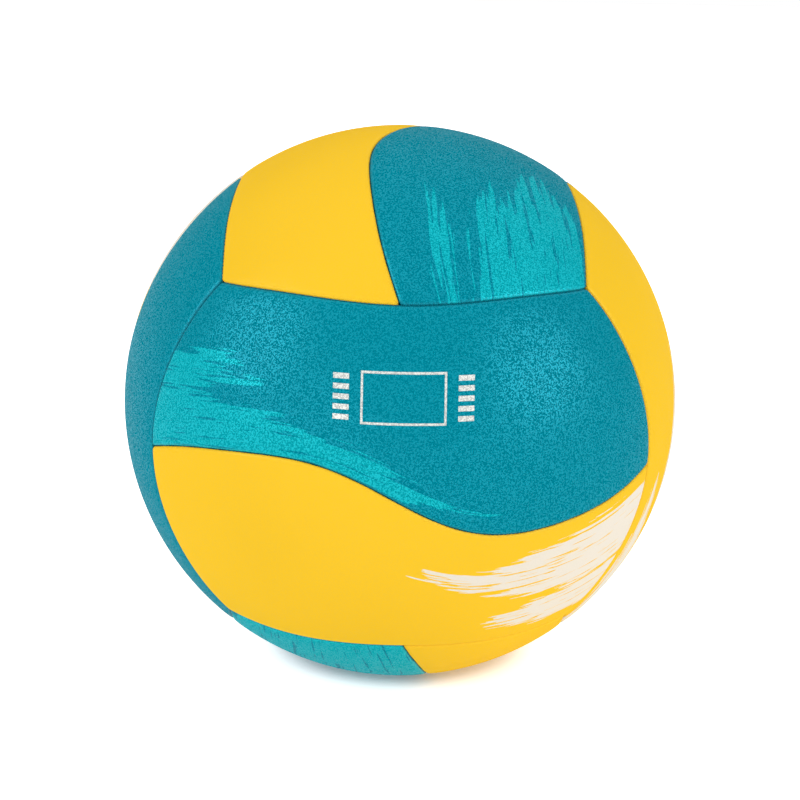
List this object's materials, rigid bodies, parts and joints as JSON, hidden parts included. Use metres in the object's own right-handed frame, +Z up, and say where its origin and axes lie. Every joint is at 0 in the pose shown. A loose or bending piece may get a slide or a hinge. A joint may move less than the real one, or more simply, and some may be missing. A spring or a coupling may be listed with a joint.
{
  "type": "volleyball",
  "caption": "Inflated volleyball with a stitched teal and yellow panel cover on foam and cloth, a rubber bladder and a needle valve.",
  "frame": {"origin": "centre of the ball", "axes": "+Z up through the middle of the top face's S seam, -Y out of the front face, whose S seam runs along X, +X to the right of that face"},
  "size_m": [0.21, 0.21, 0.21],
  "materials": {
    "skin_teal": "satin",
    "skin_yellow": "satin",
    "foam": "matte",
    "lining": "matte",
    "thread": "matte",
    "bladder": "matte",
    "valve_rubber": "matte",
    "plug_rubber": "matte"
  },
  "bodies": {
    "root": {"bladder": "bladder", "foam_back_lower": "foam", "foam_back_upper": "foam", "foam_bottom_left": "foam", "foam_bottom_right": "foam", "foam_front_lower": "foam", "foam_front_upper": "foam", "foam_left_back": "foam", "foam_left_front": "foam", "foam_right_back": "foam", "foam_right_front": "foam", "foam_top_left": "foam", "foam_top_right": "foam", "lining_back_lower": "lining", "lining_back_upper": "lining", "lining_bottom_left": "lining", "lining_bottom_right": "lining", "lining_front_lower": "lining", "lining_front_upper": "lining", "lining_left_back": "lining", "lining_left_front": "lining", "lining_right_back": "lining", "lining_right_front": "lining", "lining_top_left": "lining", "lining_top_right": "lining", "skin_back_lower": "skin_teal", "skin_back_upper": "skin_yellow", "skin_bottom_left": "skin_teal", "skin_bottom_right": "skin_yellow", "skin_front_lower": "skin_yellow", "skin_front_upper": "skin_teal", "skin_left_back": "skin_yellow", "skin_left_front": "skin_teal", "skin_right_back": "skin_teal", "skin_right_front": "skin_yellow", "skin_top_left": "skin_yellow", "skin_top_right": "skin_teal", "thread_across_back": "thread", "thread_across_bottom": "thread", "thread_across_front": "thread", "thread_across_left": "thread", "thread_across_right": "thread", "thread_across_top": "thread", "thread_back_left": "thread", "thread_back_right": "thread", "thread_bottom_back": "thread", "thread_bottom_front": "thread", "thread_front_left": "thread", "thread_front_right": "thread", "thread_left_bottom": "thread", "thread_left_top": "thread", "thread_right_bottom": "thread", "thread_right_top": "thread", "thread_top_back": "thread", "thread_top_front": "thread", "valve_body": "valve_rubber", "valve_plug": "plug_rubber"}
  },
  "joints": []
}
